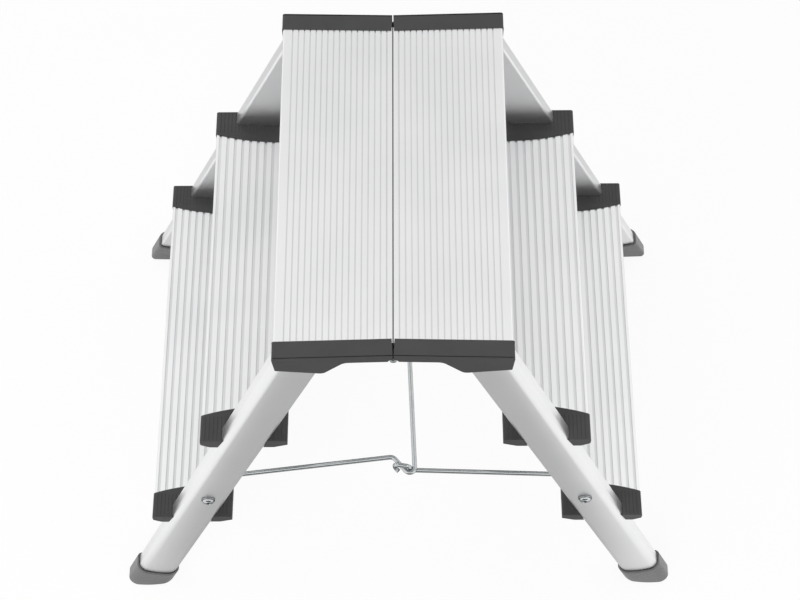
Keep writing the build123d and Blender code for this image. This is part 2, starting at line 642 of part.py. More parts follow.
save("left_top_tread", [corner(make_top_tread(knuckle_spans(0), knuckle_spans(1)), -1, 1)])
save("right_top_tread", [make_top_tread(knuckle_spans(1), knuckle_spans(0))])
save("hinge_pin", [make_pin()])
save("stay_bow", [make_bow()])
save("stay_link_far", [make_link()])
save("stay_link_near", [corner(make_link(), 1, -1)])
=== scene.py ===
from math import cos, pi, radians, sin, tan

import bmesh
import bpy
from mathutils import Matrix, Vector


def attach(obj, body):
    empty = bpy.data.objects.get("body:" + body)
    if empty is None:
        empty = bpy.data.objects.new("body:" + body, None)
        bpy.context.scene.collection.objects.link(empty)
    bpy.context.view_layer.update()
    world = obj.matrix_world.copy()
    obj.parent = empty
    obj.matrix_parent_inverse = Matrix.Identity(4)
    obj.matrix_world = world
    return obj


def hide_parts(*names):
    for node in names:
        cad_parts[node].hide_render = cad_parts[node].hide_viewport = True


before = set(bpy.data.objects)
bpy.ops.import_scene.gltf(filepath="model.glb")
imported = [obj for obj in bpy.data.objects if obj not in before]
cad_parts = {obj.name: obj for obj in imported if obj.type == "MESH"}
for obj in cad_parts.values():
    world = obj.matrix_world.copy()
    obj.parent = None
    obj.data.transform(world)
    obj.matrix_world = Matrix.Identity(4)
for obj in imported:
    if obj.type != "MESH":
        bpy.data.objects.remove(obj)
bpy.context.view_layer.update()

scene = bpy.context.scene

# Legs. Each of the four is a straight length of aluminium tube, drawn and satin anodised, flat with tight
# corners towards the treads and crowned with wide corners outside. It leans along the climb and splays
# along the treads, and its level ends stand in a plastic shoe and in the socket of a platform cap.
SIDES = {"left": -1, "right": 1}
ENDS = {"near": -1, "far": 1}
STEP_RISE = 0.230
PLATFORM_Z = 3 * STEP_RISE
LEG_LEAN = radians(21.1)
LEG_SPLAY = radians(4.75)
LEG_TOP_X = 0.0918
LEG_TOP_Y = 0.206
LEG_WIDTH = 0.054
LEG_THICKNESS = 0.025
LEG_CROWN = 0.0032
LEG_CROWN_CUTS = 11
LEG_INNER_CORNER = 0.0032
LEG_OUTER_CORNER = 0.0105
LEG_END_Z = 0.009
LEG_HEAD_Z = 0.6838
LEG_BLANK_BOTTOM = -0.1
LEG_BLANK_TOP = 0.9
LEG_GREY = (0.90, 0.905, 0.91, 1)
LEG_PALE = (0.94, 0.94, 0.945, 1)
SATIN_UNEVEN = 0.015
SMOOTH_ANGLE = radians(30)


def leg_x(height):
    """X of a right-hand leg's centre line at a height."""
    return LEG_TOP_X + (PLATFORM_Z - height) * tan(LEG_LEAN)


def leg_y(height):
    """Y of a far leg's centre line at a height."""
    return LEG_TOP_Y + (PLATFORM_Z - height) * tan(LEG_SPLAY)


def leg_place(side, end):
    """Stands a bar made along Z, with its width along X, on the line of one leg."""
    up = Vector((-tan(LEG_LEAN), -tan(LEG_SPLAY), 1)).normalized()
    through = (Vector((0, 1, 0)) - up * up.y).normalized()
    across = through.cross(up)
    turned_up = Matrix((across, through, up)).transposed().to_4x4()
    on_floor = Matrix.Translation((leg_x(0), leg_y(0), 0))
    return Matrix.Diagonal((side, end, 1, 1)) @ on_floor @ turned_up


def leg_bar(grow, bottom, top):
    """A bar along Z with the leg's section, grown all round: X across its width and Y outwards."""
    half_width = LEG_WIDTH / 2 + grow
    half_thickness = LEG_THICKNESS / 2 + grow
    bar = bmesh.new()
    bmesh.ops.create_cube(bar, size=2)
    bmesh.ops.scale(bar, vec=(half_width, half_thickness, (top - bottom) / 2), verts=bar.verts)
    bmesh.ops.translate(bar, vec=(0, 0, (top + bottom) / 2), verts=bar.verts)
    nearly_outer = 0.99 * half_thickness
    for outwards, corner, segments in ((-1, LEG_INNER_CORNER, 8), (1, LEG_OUTER_CORNER, 14)):
        upright = [edge for edge in bar.edges if (edge.verts[0].co - edge.verts[1].co).xy.length < 0.00001]
        edges = [edge for edge in upright if edge.verts[0].co.y * outwards > nearly_outer]
        bmesh.ops.bevel(bar, geom=edges, offset=corner + grow, segments=segments, profile=0.5,
                        affect="EDGES", material=-1)
    flat = [edge for edge in bar.edges if min(vert.co.y for vert in edge.verts) > nearly_outer]
    across = [edge for edge in flat if abs(edge.verts[0].co.x - edge.verts[1].co.x) > half_width / 2]
    bmesh.ops.subdivide_edges(bar, edges=across, cuts=LEG_CROWN_CUTS)
    for vert in bar.verts:
        if vert.co.y > 0:
            vert.co.y *= 1 - LEG_CROWN / half_thickness * (vert.co.x / half_width) ** 2
    layer = bar.verts.layers.float_vector.new("drawn")
    for vert in bar.verts:
        vert[layer] = vert.co
    return bar


def cut_level(shape, height, keep):
    """Cuts a shape level at a height, keeps what is above it (1) or below it (-1), and closes the cut."""
    geom = shape.verts[:] + shape.edges[:] + shape.faces[:]
    cut = bmesh.ops.bisect_plane(shape, geom=geom, dist=0.0000001, plane_co=(0, 0, height),
                                 plane_no=(0, 0, keep), clear_inner=True)
    rim = [item for item in cut["geom_cut"] if isinstance(item, bmesh.types.BMEdge)]
    return bmesh.ops.edgeloop_fill(shape, edges=rim)["faces"]


def add_piece(name, shape, material, body, node):
    """Makes a finished shape a piece that rides on a body and stands for its CAD node."""
    mesh = bpy.data.meshes.new(name)
    shape.to_mesh(mesh)
    shape.free()
    mesh.materials.append(material)
    mesh.shade_smooth()
    mesh.set_sharp_from_angle(angle=SMOOTH_ANGLE)
    piece = bpy.data.objects.new(name, mesh)
    scene.collection.objects.link(piece)
    even = piece.modifiers.new("even normals", "WEIGHTED_NORMAL")
    even.keep_sharp = True
    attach(piece, body)
    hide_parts(node)
    return piece


def add_node(tree, kind, inputs=None, **options):
    """A shader node with some of its inputs and options set."""
    node = tree.nodes.new(kind)
    for key, value in options.items():
        setattr(node, key, value)
    for key, value in (inputs or {}).items():
        node.inputs[key].default_value = value
    return node


def spread(tree, source, low, high):
    """Spreads a noise value over a range."""
    limits = {"From Min": 0.3, "From Max": 0.7, "To Min": low, "To Max": high}
    node = add_node(tree, "ShaderNodeMapRange", limits)
    tree.links.new(source, node.inputs["Value"])
    return node.outputs["Result"]


def tinted(tree, source, first, second):
    """Runs between two colours by a value."""
    node = add_node(tree, "ShaderNodeMix", data_type="RGBA")
    tree.links.new(source, node.inputs["Factor"])
    colour_inputs = [socket for socket in node.inputs if socket.type == "RGBA"]
    for socket, colour in zip(colour_inputs, (first, second)):
        socket.default_value = colour
    return next(socket for socket in node.outputs if socket.type == "RGBA")


def satin_aluminium(name, place, fine, dark, pale, roughness, depth):
    """Satin aluminium whose fine lines lie the way it was drawn; place gives the coordinates node."""
    material = bpy.data.materials.new(name)
    material.use_nodes = True
    tree = material.node_tree
    shader = tree.nodes["Principled BSDF"]
    shader.inputs["Metallic"].default_value = 1
    source = place(tree)
    stretch = add_node(tree, "ShaderNodeMapping", {"Scale": fine})
    lines = add_node(tree, "ShaderNodeTexNoise", {"Scale": 1, "Detail": 3, "Roughness": 0.6})
    clouds = add_node(tree, "ShaderNodeTexNoise", {"Scale": 9, "Detail": 2})
    bump = add_node(tree, "ShaderNodeBump", {"Strength": depth, "Distance": 0.0002})
    tree.links.new(source, stretch.inputs["Vector"])
    tree.links.new(stretch.outputs["Vector"], lines.inputs["Vector"])
    tree.links.new(source, clouds.inputs["Vector"])
    tree.links.new(lines.outputs["Fac"], bump.inputs["Height"])
    tree.links.new(bump.outputs["Normal"], shader.inputs["Normal"])
    rough = spread(tree, lines.outputs["Fac"], roughness - SATIN_UNEVEN, roughness + SATIN_UNEVEN)
    tree.links.new(rough, shader.inputs["Roughness"])
    tint = tinted(tree, spread(tree, clouds.outputs["Fac"], 0, 1), dark, pale)
    tree.links.new(tint, shader.inputs["Base Color"])
    return material


def drawn_place(tree):
    """A point's place along and across its own bar."""
    return add_node(tree, "ShaderNodeAttribute", attribute_name="drawn").outputs["Vector"]


leg_finish = satin_aluminium("leg_aluminium", drawn_place, (1400, 1400, 9), LEG_GREY, LEG_PALE,
                             roughness=0.35, depth=0.004)
for side_name, side in SIDES.items():
    for end_name, end in ENDS.items():
        tube = leg_bar(0, LEG_BLANK_BOTTOM, LEG_BLANK_TOP)
        bmesh.ops.transform(tube, matrix=leg_place(side, end), verts=tube.verts)
        cut_level(tube, LEG_END_Z, 1)
        cut_level(tube, LEG_HEAD_Z, -1)
        bmesh.ops.recalc_face_normals(tube, faces=tube.faces)
        add_piece(f"tube_{side_name}_{end_name}", tube, leg_finish,
                  f"{side_name}_frame", f"{side_name}_leg_{end_name}")

# Shoes. Each leg stands in a moulded sleeve of mid-grey plastic with a flat sole, pushed on from below.
# The sleeve follows the tube, its rim is square to the leg, and its sole edge is rounded.
SHOE_WALL = 0.0032
SHOE_HEIGHT = 0.045
SHOE_SOLE_ROUND = 0.005
SHOE_RIM_ROUND = 0.0008
SHOE_GAP = 0.0006
SHOE_POCKET = 0.014
SHOE_GREY = (0.120, 0.121, 0.124, 1)
SHOE_PALE = (0.150, 0.151, 0.154, 1)
PLASTIC_UNEVEN = 0.06


def object_place(tree):
    """A point's place in the object's own frame."""
    return add_node(tree, "ShaderNodeTexCoord").outputs["Object"]


def moulded_plastic(name, dark, pale, roughness, grain, depth):
    """Moulded plastic with a fine, even grain and slightly uneven colour."""
    material = bpy.data.materials.new(name)
    material.use_nodes = True
    tree = material.node_tree
    shader = tree.nodes["Principled BSDF"]
    source = object_place(tree)
    pores = add_node(tree, "ShaderNodeTexNoise", {"Scale": grain, "Detail": 2})
    clouds = add_node(tree, "ShaderNodeTexNoise", {"Scale": 30, "Detail": 3})
    bump = add_node(tree, "ShaderNodeBump", {"Strength": depth, "Distance": 0.0003})
    tree.links.new(source, pores.inputs["Vector"])
    tree.links.new(source, clouds.inputs["Vector"])
    tree.links.new(pores.outputs["Fac"], bump.inputs["Height"])
    tree.links.new(bump.outputs["Normal"], shader.inputs["Normal"])
    rough = spread(tree, pores.outputs["Fac"], roughness - PLASTIC_UNEVEN, roughness + PLASTIC_UNEVEN)
    tree.links.new(rough, shader.inputs["Roughness"])
    tint = tinted(tree, spread(tree, clouds.outputs["Fac"], 0, 1), dark, pale)
    tree.links.new(tint, shader.inputs["Base Color"])
    return material


shoe_finish = moulded_plastic("shoe_plastic", SHOE_GREY, SHOE_PALE, roughness=0.30, grain=1500, depth=0.10)
for side_name, side in SIDES.items():
    for end_name, end in ENDS.items():
        shoe = leg_bar(SHOE_WALL, LEG_BLANK_BOTTOM, SHOE_HEIGHT)
        rim = max(shoe.faces, key=lambda face: face.calc_center_median().z)
        bmesh.ops.bevel(shoe, geom=rim.edges[:], offset=SHOE_RIM_ROUND, segments=3, profile=0.5,
                        affect="EDGES", material=-1)
        rim = max(shoe.faces, key=lambda face: face.calc_center_median().z)
        bmesh.ops.inset_region(shoe, faces=[rim], thickness=SHOE_WALL - SHOE_RIM_ROUND - SHOE_GAP)
        bmesh.ops.inset_region(shoe, faces=[rim], thickness=SHOE_GAP / 4, depth=-SHOE_POCKET)
        bmesh.ops.transform(shoe, matrix=leg_place(side, end), verts=shoe.verts)
        sole = cut_level(shoe, 0, 1)
        sole_edges = [edge for face in sole for edge in face.edges]
        bmesh.ops.bevel(shoe, geom=sole_edges, offset=SHOE_SOLE_ROUND, segments=6, profile=0.5,
                        affect="EDGES", material=-1)
        bmesh.ops.recalc_face_normals(shoe, faces=shoe.faces)
        add_piece(f"shoe_{side_name}_{end_name}", shoe, shoe_finish,
                  f"{side_name}_frame", f"{side_name}_foot_{end_name}")

# Treads. Two wide ones meet over the hinge and make the platform, and each side has two narrower ones.
# All are extruded aluminium: a grooved deck with skirts, ribs and flanges below, sawn to length. The
# grooves are rougher than the ridges and painted darker as painted shade, and the hinge barrel in the seam
# is painted dark as shade.
TREAD_GREY = (0.87, 0.875, 0.88, 1)
TREAD_PALE = (0.92, 0.92, 0.925, 1)
GROOVE_SHADE_GREY = (0.74, 0.745, 0.75, 1)
GROOVE_SHADE_PALE = (0.80, 0.805, 0.81, 1)
# Dark painted shade, used in the hinge seam, on the pin's shaft and inside the screw and bolt drives.
PAINTED_SHADE_DARK = (0.09, 0.09, 0.09, 1)
PAINTED_SHADE_GREY = (0.15, 0.15, 0.15, 1)
ALONG_TREAD = (1500, 6, 1500)
TREAD_EDGE = 0.00025
SHARP_ANGLE = radians(40)
GROOVE_DEPTH = 0.0013
GROOVE_SHADE_TOP = 0.3 * GROOVE_DEPTH
GROOVE_SHADE_BOTTOM = 1.1 * GROOVE_DEPTH
STEEP = 0.9
LEVEL = 0.95
SEAM_SHADE_HALF = 0.0075
DECK = 0.0032
TREAD_HEIGHTS = {"top": PLATFORM_Z, "mid": 2 * STEP_RISE, "low": STEP_RISE}


def softened_copy(node, edge_round, sharp):
    """A merged copy of a CAD node with its flat faces joined up and its sharp edges eased."""
    shape = bmesh.new()
    shape.from_mesh(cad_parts[node].data)
    bmesh.ops.remove_doubles(shape, verts=shape.verts, dist=0.000002)
    bmesh.ops.dissolve_limit(shape, angle_limit=radians(0.4), verts=shape.verts, edges=shape.edges)
    edges = [edge for edge in shape.edges if edge.is_manifold and edge.calc_face_angle() > sharp]
    bmesh.ops.bevel(shape, geom=edges, offset=edge_round, segments=2, profile=0.5, affect="EDGES",
                    clamp_overlap=True, material=-1)
    return shape


def tread_shade_zone(face, height):
    """Which finish a tread's face has: 0 the plain metal, 1 a groove with painted shade, 2 the hinge barrel
    and its seam with darker painted shade.
    """
    middle = face.calc_center_median()
    if height == PLATFORM_Z and abs(middle.x) < SEAM_SHADE_HALF and middle.z < height - TREAD_EDGE:
        if face.normal.z < STEEP or middle.z < height - DECK:
            return 2
    in_groove = height - GROOVE_SHADE_BOTTOM < middle.z < height - GROOVE_SHADE_TOP
    square = abs(face.normal.x) > STEEP or face.normal.z > LEVEL
    return 1 if in_groove and square else 0


tread_finish = satin_aluminium("tread_aluminium", object_place, ALONG_TREAD, TREAD_GREY, TREAD_PALE,
                               roughness=0.32, depth=0.03)
# The grooves' darker colour is painted shade.
groove_shade_finish = satin_aluminium("groove_painted_shade", object_place, ALONG_TREAD, GROOVE_SHADE_GREY, GROOVE_SHADE_PALE,
                                roughness=0.42, depth=0.03)
painted_shade_finish = satin_aluminium("painted_shade_metal", object_place, ALONG_TREAD, PAINTED_SHADE_DARK, PAINTED_SHADE_GREY,
                               roughness=0.5, depth=0.03)
for side_name in SIDES:
    for level, height in TREAD_HEIGHTS.items():
        node = f"{side_name}_{level}_tread"
        deck = softened_copy(node, TREAD_EDGE, SHARP_ANGLE)
        # Faces in the grooves and in the hinge seam get painted shade.
        for face in deck.faces:
            face.material_index = tread_shade_zone(face, height)
        piece = add_piece(f"deck_{level}_{side_name}", deck, tread_finish,
                          f"{side_name}_frame", node)
        piece.data.materials.append(groove_shade_finish)
        piece.data.materials.append(painted_shade_finish)

# End caps. Every tread end is closed by a charcoal plastic moulding that laps the deck with a thin lip.
# The platform caps have a deep socket over the leg's head; the lower ones are notched for the leg.
CAP_BLACK = (0.034, 0.034, 0.035, 1)
CAP_GREY = (0.042, 0.042, 0.043, 1)
CAP_EDGE = 0.00035

cap_finish = moulded_plastic("cap_plastic", CAP_BLACK, CAP_GREY, roughness=0.5, grain=1900, depth=0.3)
for side_name in SIDES:
    for end_name in ENDS:
        for level in TREAD_HEIGHTS:
            node = f"{side_name}_{level}_cap_{end_name}"
            cap = softened_copy(node, CAP_EDGE, SHARP_ANGLE)
            add_piece(f"end_cap_{level}_{side_name}_{end_name}", cap, cap_finish,
                      f"{side_name}_frame", node)

# Rivets. Two blind aluminium rivets hold each cap's inner wall to its leg.
# Their domed heads lie against the cap under the tread, and their set ends spread inside the tube.
RIVET_RADIUS = 0.002
RIVET_HEAD_RADIUS = 0.004
RIVET_HEAD = 0.0014
RIVET_RIM = 0.0003
RIVET_TAIL_RADIUS = 0.0032
RIVET_TAIL_NECK = 0.8 * RIVET_TAIL_RADIUS
RIVET_TAIL = 0.0025
RIVET_SPREAD = 0.010
RIVET_DROP_LOWER = 0.009
RIVET_DROP_TOP = 0.022
LEG_WALL = 0.0018
SOCKET_WALL = 0.004
DOME_STEPS = 6
CAP_WEB = 0.006
LOWER_LEVELS = (TREAD_HEIGHTS["mid"], TREAD_HEIGHTS["low"])


def turned(profile, steps=40):
    """A turned piece: a profile of radius and height points spun round Z."""
    shape = bmesh.new()
    verts = [shape.verts.new((radius, 0, height)) for radius, height in profile]
    edges = [shape.edges.new(pair) for pair in zip(verts, verts[1:])]
    bmesh.ops.spin(shape, geom=verts + edges, cent=(0, 0, 0), axis=(0, 0, 1), dvec=(0, 0, 0),
                   angle=2 * pi, steps=steps, use_merge=True, use_duplicate=False)
    bmesh.ops.remove_doubles(shape, verts=shape.verts, dist=0.000001)
    bmesh.ops.recalc_face_normals(shape, faces=shape.faces)
    return shape


def dome(radius, rim, top):
    """Profile points of a domed head from its rim up to its middle."""
    angles = [pi / 2 * step / DOME_STEPS for step in range(DOME_STEPS + 1)]
    return [(radius * cos(angle), rim + (top - rim) * sin(angle)) for angle in angles]


def add_copies(group, shape, places):
    """Adds one shape to a group of shapes, once at each of several places."""
    single = bpy.data.meshes.new("single")
    shape.to_mesh(single)
    shape.free()
    for place in places:
        count = len(group.verts)
        group.from_mesh(single)
        group.verts.ensure_lookup_table()
        bmesh.ops.transform(group, matrix=place, verts=group.verts[count:])
    bmesh.ops.recalc_face_normals(group, faces=group.faces)
    bpy.data.meshes.remove(single)


def copies_at(shape, places):
    """One shape repeated at each of several places."""
    group = bmesh.new()
    add_copies(group, shape, places)
    return group


def leg_inner_y(height):
    """Y of a far leg's inner flat face at a height."""
    return leg_y(height) - LEG_THICKNESS / 2 / cos(LEG_SPLAY)


def facing_in(x, y, z, end):
    """Lays a piece made along Z so that its top faces the middle of the stool, at the near or far end."""
    return Matrix.Translation((x, end * y, z)) @ Matrix.Rotation(end * pi / 2, 4, "X")


rivet_finish = satin_aluminium("rivet_aluminium", object_place, (900, 900, 900), TREAD_GREY, TREAD_PALE,
                               roughness=0.36, depth=0.04)
rivet_seats = [(PLATFORM_Z - RIVET_DROP_TOP, leg_inner_y(PLATFORM_Z) - SOCKET_WALL)]
rivet_seats += [(z - RIVET_DROP_LOWER, leg_inner_y(z) - CAP_WEB) for z in LOWER_LEVELS]
for side_name, side in SIDES.items():
    rivets = bmesh.new()
    for height, seat in rivet_seats:
        grip = leg_inner_y(height) + LEG_WALL / cos(LEG_SPLAY) - seat
        grip += (RIVET_SPREAD + RIVET_TAIL_RADIUS) * tan(LEG_SPLAY)
        profile = [(0, -grip - RIVET_TAIL), (RIVET_TAIL_NECK, -grip - RIVET_TAIL)]
        profile += [(RIVET_TAIL_RADIUS, -grip - RIVET_TAIL / 2), (RIVET_TAIL_NECK, -grip)]
        profile += [(RIVET_RADIUS, -grip), (RIVET_RADIUS, 0), (RIVET_HEAD_RADIUS, 0)]
        profile += dome(RIVET_HEAD_RADIUS, RIVET_RIM, RIVET_HEAD)
        places = [facing_in(side * (leg_x(height) + shift), seat, height, end)
                  for end in ENDS.values() for shift in (-RIVET_SPREAD, RIVET_SPREAD)]
        add_copies(rivets, turned(profile, steps=20), places)
    add_piece(f"blind_rivets_{side_name}", rivets, rivet_finish,
              f"{side_name}_frame", f"{side_name}_leg_rivets")

# Hinge pin. One long zinc-plated steel pin runs through the knuckles of both platform treads.
# It is headed at both ends, and the near head shows in the seam between the two platform caps. Its
# shaft carries the same dark painted shade as the barrel round it.
HINGE_DROP = 0.014
HINGE_Z = PLATFORM_Z - HINGE_DROP
TOP_CAP_REACH = 0.0198
PIN_SET_BACK = 0.003
PIN_END_Y = LEG_TOP_Y + TOP_CAP_REACH - PIN_SET_BACK
PIN_RADIUS = 0.003
PIN_HEAD_RADIUS = 0.0038
PIN_HEAD = 0.0022
ZINC_COOL = (0.59, 0.62, 0.63, 1)
ZINC_PALE = (0.67, 0.69, 0.695, 1)
ZINC_PAINTED_DARK_EDGE = (0.20, 0.22, 0.24, 1)
ZINC_SMOOTHER = 0.04
ZINC_ROUGHER = 0.06


def zinc_plate(name, cool, pale, roughness):
    """Zinc plate on steel: a cool metal, faintly uneven in tint and gloss, with a dark edge tint that paints
    dark reflections along its grazing edges.
    """
    material = bpy.data.materials.new(name)
    material.use_nodes = True
    tree = material.node_tree
    shader = tree.nodes["Principled BSDF"]
    shader.inputs["Metallic"].default_value = 1
    # The dark edge tint is a painted reflection: it darkens the rims of round parts.
    shader.inputs["Specular Tint"].default_value = ZINC_PAINTED_DARK_EDGE
    source = object_place(tree)
    clouds = add_node(tree, "ShaderNodeTexNoise", {"Scale": 60, "Detail": 3})
    specks = add_node(tree, "ShaderNodeTexNoise", {"Scale": 900, "Detail": 2})
    bump = add_node(tree, "ShaderNodeBump", {"Strength": 0.06, "Distance": 0.0002})
    tree.links.new(source, clouds.inputs["Vector"])
    tree.links.new(source, specks.inputs["Vector"])
    tree.links.new(specks.outputs["Fac"], bump.inputs["Height"])
    tree.links.new(bump.outputs["Normal"], shader.inputs["Normal"])
    rough = spread(tree, specks.outputs["Fac"], roughness - ZINC_SMOOTHER, roughness + ZINC_ROUGHER)
    tree.links.new(rough, shader.inputs["Roughness"])
    tint = tinted(tree, spread(tree, clouds.outputs["Fac"], 0, 1), cool, pale)
    tree.links.new(tint, shader.inputs["Base Color"])
    return material


zinc_finish = zinc_plate("zinc_steel", ZINC_COOL, ZINC_PALE, roughness=0.11)
half_pin = [(PIN_RADIUS, 0), (PIN_RADIUS, PIN_END_Y - PIN_HEAD), (PIN_HEAD_RADIUS, PIN_END_Y - PIN_HEAD)]
half_pin += dome(PIN_HEAD_RADIUS, PIN_END_Y - PIN_HEAD / 2, PIN_END_Y)
pin_profile = [(radius, -height) for radius, height in reversed(half_pin[1:])] + half_pin[1:]
pin_place = Matrix.Translation((0, 0, HINGE_Z)) @ Matrix.Rotation(pi / 2, 4, "X")
pin = copies_at(turned(pin_profile, steps=32), [pin_place])
# The shaft's faces get the dark painted shade; the heads keep the zinc.
for face in pin.faces:
    on_shaft = abs(face.calc_center_median().y) < PIN_END_Y - 1.01 * PIN_HEAD
    face.material_index = 1 if on_shaft else 0
pin_piece = add_piece("hinge_pin_turned", pin, zinc_finish, "left_frame", "hinge_pin")
pin_piece.data.materials.append(painted_shade_finish)

# Tread screws. Short steel screws, driven up from below, fix each tread's flanges to its caps.
# They have low domed heads with a six-sided drive, and only their heads show under the treads.
SCREW_RADIUS = 0.002
SCREW_HEAD_RADIUS = 0.0036
SCREW_HEAD = 0.002
SCREW_RIM = 0.0006
SCREW_TIP = 0.001
SCREW_TIP_RADIUS = 0.6 * SCREW_RADIUS
SCREW_DRIVE = 0.0014
SCREW_DRIVE_RIM = 0.0004
SCREW_DRIVE_TOP = 0.96 * SCREW_HEAD
SCREW_DRIVE_DEPTH = 0.0012
SCREW_END_COVER = 0.0015
SKIRT_WALL = 0.0022
FLANGE_WIDTH = 0.011
TONGUE_RIB_X = 0.046
TONGUE_RIB_DROP = 0.014
TONGUE_LENGTH = 0.024
PLUG_LENGTH = 0.022
LOWER_TREAD_FRONT = 0.054
LOWER_TREAD_BACK = 0.049
LOWER_FLANGE_DROP = 0.013
TOP_SCREW_X = TONGUE_RIB_X - SKIRT_WALL - FLANGE_WIDTH / 2
TOP_SCREW_Y = LEG_TOP_Y - TONGUE_LENGTH / 2
LOWER_SCREW_INSET = SKIRT_WALL + FLANGE_WIDTH / 2
DECK_COVER = DECK + SCREW_END_COVER


def add_drive(shape, rim_radius, drive_radius, top, depth):
    """Sinks a six-sided drive into the open top of a turned head; its inside takes the second material, dark
    painted shade.
    """
    rim = [edge for edge in shape.edges if edge.is_boundary]
    around = len(rim) // 6
    made = bmesh.ops.create_circle(shape, segments=6, radius=drive_radius,
                                   matrix=Matrix.Translation((0, 0, top - rim_radius + drive_radius)))
    six = list({edge for vert in made["verts"] for edge in vert.link_edges})
    bmesh.ops.subdivide_edges(shape, edges=six, cuts=around - 1)
    six = [edge for edge in shape.edges if edge.is_wire]
    bmesh.ops.bridge_loops(shape, edges=rim + six)
    walls = bmesh.ops.extrude_edge_only(shape, edges=six)["geom"]
    sunk = [item for item in walls if isinstance(item, bmesh.types.BMVert)]
    bmesh.ops.translate(shape, vec=(0, 0, -depth), verts=sunk)
    bottom = [item for item in walls if isinstance(item, bmesh.types.BMEdge)]
    inside = [item for item in walls if isinstance(item, bmesh.types.BMFace)]
    inside += bmesh.ops.edgeloop_fill(shape, edges=bottom)["faces"]
    for face in inside:
        face.material_index = 1
    bmesh.ops.recalc_face_normals(shape, faces=shape.faces)


def screw_shape(length):
    """A screw along Z with its head up, its seat at zero and its tip below."""
    rim_radius = SCREW_DRIVE + SCREW_DRIVE_RIM
    profile = [(0, -length), (SCREW_TIP_RADIUS, -length), (SCREW_RADIUS, -length + SCREW_TIP)]
    profile += [(SCREW_RADIUS, 0), (SCREW_HEAD_RADIUS, 0)]
    rise = dome(SCREW_HEAD_RADIUS, SCREW_RIM, SCREW_HEAD)
    profile += [point for point in rise if point[0] > rim_radius]
    profile += [(rim_radius, SCREW_DRIVE_TOP)]
    shape = turned(profile, steps=24)
    add_drive(shape, rim_radius, SCREW_DRIVE, SCREW_DRIVE_TOP, SCREW_DRIVE_DEPTH)
    return shape


def head_down(x, y, z):
    """Turns a piece made head up to hang head down at a place."""
    return Matrix.Translation((x, y, z)) @ Matrix.Rotation(pi, 4, "X")


screw_spots = [(TOP_SCREW_X, TOP_SCREW_Y, PLATFORM_Z - TONGUE_RIB_DROP, PLATFORM_Z - DECK_COVER)]
for z in LOWER_LEVELS:
    screw_y = leg_inner_y(z) - CAP_WEB - PLUG_LENGTH / 2
    back_x = leg_x(z) - LOWER_TREAD_BACK + LOWER_SCREW_INSET
    front_x = leg_x(z) + LOWER_TREAD_FRONT - LOWER_SCREW_INSET
    for x in (back_x, front_x):
        screw_spots.append((x, screw_y, z - LOWER_FLANGE_DROP, z - DECK_COVER))
for side_name, side in SIDES.items():
    screws = bmesh.new()
    for x, y, under, tip in screw_spots:
        places = [head_down(side * x, end * y, under) for end in ENDS.values()]
        add_copies(screws, screw_shape(tip - under), places)
    screw_piece = add_piece(f"flange_screws_{side_name}", screws, zinc_finish,
                            f"{side_name}_frame", f"{side_name}_tread_screws")
    # The second material paints shade inside the screw drives.
    screw_piece.data.materials.append(painted_shade_finish)

# Stay bolts. A button-head socket bolt goes through each leg and carries one eye of the wire stay.
# From outside in it holds a dull washer, the leg, a spacer sleeve, the wire, a plain washer and a locknut.
STAY_Z = 0.300
STAY_X = leg_x(STAY_Z)
WIRE_RADIUS = 0.003
EYE_STANDOFF = 0.009
EYE_Y = leg_inner_y(STAY_Z) - EYE_STANDOFF
BOLT_RADIUS = 0.004
BOLT_HOLE_FIT = 0.00005
BOLT_HEAD_RADIUS = 0.0075
BOLT_HEAD = 0.0044
BOLT_RIM = 0.0007
BOLT_DRIVE = 0.0029
BOLT_DRIVE_RIM = 0.0006
BOLT_DRIVE_TOP = 0.93 * BOLT_HEAD
BOLT_DRIVE_DEPTH = 0.0026
HEAD_WASHER_RADIUS = 0.0088
HEAD_WASHER = 0.001
HEAD_WASHER_EASE = 0.0002
SPACER_RADIUS = 0.007
SPACER_EASE = 0.0005
WASHER_RADIUS = 0.008
WASHER = 0.0016
WASHER_EASE = 0.0004
NUT = 0.0065
NUT_EDGE = 0.0004
NUT_SHARP_ANGLE = radians(20)
BOLT_END = 0.002
BOLT_END_EASE = 0.0007
RING_SINK = 0.0004
EYE_SIDE_PLAY = 0.0002
LEG_OUTER_Y = leg_y(STAY_Z) + LEG_THICKNESS / 2 / cos(LEG_SPLAY)
HEAD_SEAT_Y = LEG_OUTER_Y + HEAD_WASHER_RADIUS * tan(LEG_SPLAY) + HEAD_WASHER
WASHER_Y = EYE_Y - WIRE_RADIUS - EYE_SIDE_PLAY
NUT_Y = WASHER_Y - WASHER
WASHER_DARK = (0.34, 0.345, 0.35, 1)
WASHER_GREY = (0.42, 0.425, 0.43, 1)


def ring_profile(inner, outer, low, high, ease):
    """The closed profile of a ring with eased outer edges."""
    rim = [(outer - ease, low), (outer, low + ease), (outer, high - ease), (outer - ease, high)]
    return [(inner, low)] + rim + [(inner, high), (inner, low)]


def bolt_place(side, end):
    """Puts a piece made along Z on a stay bolt's axis, with up turned outwards."""
    return Matrix.Translation((side * STAY_X, 0, STAY_Z)) @ Matrix.Rotation(-end * pi / 2, 4, "X")


def bolt_shape():
    """A bolt along Z, its height measured from the middle of the stool."""
    rim_radius = BOLT_DRIVE + BOLT_DRIVE_RIM
    tip = NUT_Y - NUT - BOLT_END
    profile = [(0, tip), (BOLT_RADIUS - BOLT_END_EASE, tip), (BOLT_RADIUS, tip + BOLT_END_EASE)]
    profile += [(BOLT_RADIUS, HEAD_SEAT_Y), (BOLT_HEAD_RADIUS, HEAD_SEAT_Y)]
    rise = dome(BOLT_HEAD_RADIUS, HEAD_SEAT_Y + BOLT_RIM, HEAD_SEAT_Y + BOLT_HEAD)
    profile += [point for point in rise if point[0] > rim_radius]
    profile += [(rim_radius, HEAD_SEAT_Y + BOLT_DRIVE_TOP)]
    shape = turned(profile, steps=48)
    add_drive(shape, rim_radius, BOLT_DRIVE, HEAD_SEAT_Y + BOLT_DRIVE_TOP, BOLT_DRIVE_DEPTH)
    return shape


